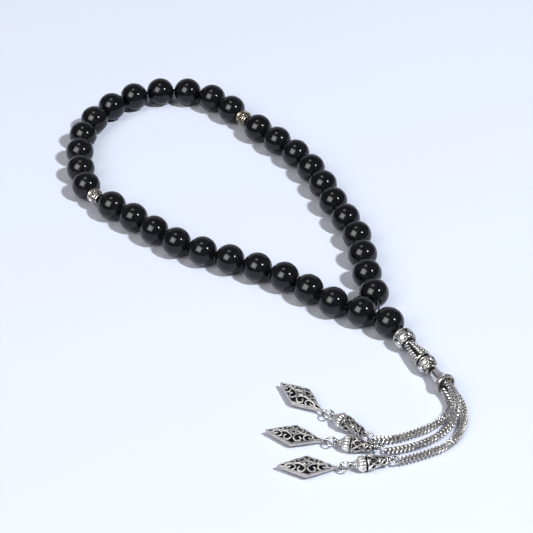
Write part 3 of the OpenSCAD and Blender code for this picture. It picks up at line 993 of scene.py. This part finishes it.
def face_height(along, across):
    """Height of the pendant's face above its middle plane."""
    rim = HALF_RIM * (1 - RIM_THINS * abs(along) / HALF_LEN)
    share = min(1, lozenge_share(along, across))
    return rim + (HALF_THICK - 0.22 - rim) * (1 - share ** 1.6)


def lozenge_ring(share, height_change, side, count=88):
    """A ring of points round the lozenge on one face. side is 1 for the upper face, -1 for the lower."""
    ring = []
    for a in turns(count):
        along = share * HALF_LEN * abs(cos(a)) ** (2 / ROUNDNESS) * (1 if cos(a) >= 0 else -1)
        across = share * HALF_WIDTH * abs(sin(a)) ** (2 / ROUNDNESS) * (1 if sin(a) >= 0 else -1)
        height = face_height(along, across) + height_change
        ring.append((-side * height, across, TIP_AT + HALF_LEN + along))
    return ring


def pendant_body():
    """The silver tray: a raised border round a recess on each face, notched sides, and the eye."""
    shape = Shape()
    steps = [(share, -RECESS_DEPTH) for share in (0.01, 0.2, 0.4, 0.6, 0.75, RECESS)]
    steps += [(RECESS + 0.01, 0.0), (RECESS + 0.03, 0.14), (0.945, 0.2), (0.975, 0.1), (1.0, -0.14)]
    upper = [lozenge_ring(share, change, 1) for share, change in steps]
    lower = [lozenge_ring(share, change, -1) for share, change in reversed(steps)]
    shape.skin(upper + lower)
    notches = 11
    for end in (-1, 1):
        for side in (-1, 1):
            for i in range(notches):
                t = (i + 0.8) / (notches + 0.8)
                along, across = end * HALF_LEN * (1 - t), side * HALF_WIDTH * t
                rim = HALF_RIM * (1 - RIM_THINS * (1 - t))
                centre = (0, across * 0.98, TIP_AT + HALF_LEN + along)
                shape.ball(centre, 0.5 * rim + 0.12, 8, (1.9, 0.8, 0.9))
    upright_eye(shape, 0, 0.825, WIRE_RADIUS)
    shape.lathe([(0.02, 0.7), (0.32, 0.75), (0.36, 1.3), (0.5, 2.2), (0.02, 2.6)], 20, closed=False)
    return shape


def enamel_shape():
    """The black enamel that fills both recesses."""
    shape = Shape()
    for side in (1, -1):
        shares = [0.01, 0.15, 0.3, 0.45, 0.6, 0.72, RECESS + 0.005]
        top = [lozenge_ring(share, -0.2, side) for share in shares]
        under = [lozenge_ring(share, -0.45, side) for share in reversed(shares)]
        shape.skin(top + under)
    return shape


def filigree_lines():
    """Each line of one quarter of the face as (points, radius), in along and across millimetres."""
    big_scroll = [(3.6, 0.04), (2.9, 0.06), (2.0, 0.22), (1.05, 0.78), (0.36, 1.5), (0.55, 2.3), (1.35, 2.78),
                  (2.25, 2.5), (2.62, 1.8), (2.05, 1.25)]
    small_scroll = [(4.9, 0.86), (5.5, 0.98), (6.1, 0.62), (6.2, 0.25), (5.4, 0.05), (4.4, 0.12), (3.6, 0.55),
                    (3.35, 1.15), (3.7, 1.7), (4.4, 1.85)]
    diamond = [(1.0, 0.0), (0.55, 0.36), (0.27, 0.6), (0.0, 0.95)]
    dart = [(6.2, 0.3), (6.6, 0.62), (7.2, 0.55), (7.9, 0.24)]
    return ((big_scroll, 0.24), (small_scroll, 0.22), (diamond, 0.22), (dart, 0.2))


def filigree_shape():
    """Silver wires on the enamel, mirrored over both axes and both faces."""
    shape = Shape()
    for points, radius in filigree_lines():
        for end in (-1, 1):
            for across_side in (-1, 1):
                for side in (1, -1):
                    path, facing = [], []
                    for flat in smooth_line([(a, b, 0) for a, b in points], 5):
                        along, across = end * flat.x, across_side * flat.y
                        height = face_height(along, across) + 0.02
                        path.append((-side * height, across, TIP_AT + HALF_LEN + along))
                        facing.append((-side, 0, 0))
                    shape.wire(path, radius, sides=8, facing=facing, width=1.1)
                    shape.ball(path[0], radius * 1.15, 8)
    return shape


def make_pendants(silver, tray, enamel):
    for k in TASSELS:
        body = f"pendant_{k}"
        eye = pivot(body)
        # The far tip, which is the CAD pendant's farthest point from its eye
        tip = max((v.co / MM for v in frame["nodes"][body].data.vertices), key=lambda p: (p - eye).length)
        place = local_frame(eye, Vector((tip.x - eye.x, tip.y - eye.y, 0)))
        make_piece(f"{body}_tray", pendant_body(), place, body, "silver_filigree", tray, body)
        make_piece(f"{body}_enamel", enamel_shape(), place, body, "enamel_black", enamel)
        make_piece(f"{body}_filigree", filigree_shape(), place, body, "silver_filigree", silver)


# ---- Everything --------------------------------------------------------------------------------
make_camera()
make_lights()
make_world()
make_floor()

onyx = onyx_material()
# Each silver's second colour is its tarnish colour and also the colour of the painted shade in its recesses
dark_silver = silver_material("silver_dark", (0.08, 0.077, 0.074), (0.010, 0.009, 0.008), 0.42, 0.6, 0.5)
worked_silver = silver_material("silver_worked", (0.74, 0.72, 0.69), (0.035, 0.032, 0.03), 0.26, 0.45, 0.6)
fluted_silver = silver_material("silver_fluted", (0.80, 0.765, 0.73), (0.03, 0.027, 0.025), 0.36, 0.25, 0.7)
polished_silver = silver_material(
    "silver_polished", (0.64, 0.62, 0.60), (0.10, 0.094, 0.088), 0.20, 0.35, 0.6)
chain_silver = silver_material(
    "silver_chain", (0.76, 0.735, 0.71), (0.010, 0.009, 0.008), 0.28, 0.3, 0.6, 0.36, 0.84)
filigree_silver = silver_material("silver_filigree", (0.92, 0.90, 0.87), (0.20, 0.19, 0.18), 0.34, 0.2, 0.25)
tray_silver = silver_material("silver_tray", (0.66, 0.61, 0.575), (0.06, 0.052, 0.048), 0.34, 0.35, 0.7)
rose_silver = silver_material(
    "silver_rose", (0.86, 0.79, 0.74), (0.10, 0.05, 0.03), 0.26, 0.4, 0.7, 0.45, 0.95)
gold_silver = silver_material(
    "silver_gold", (0.78, 0.655, 0.53), (0.025, 0.016, 0.010), 0.28, 0.5, 0.8, 0.5, 1.0)

make_beads(onyx)
make_dividers(dark_silver, (("silver_rose", rose_silver), ("silver_gold", gold_silver)))
make_thread(thread_material())
make_imam(dark_silver, worked_silver, polished_silver)
make_chains(chain_silver)
make_caps(dark_silver, worked_silver, fluted_silver, polished_silver)
make_pendants(filigree_silver, tray_silver, enamel_material())
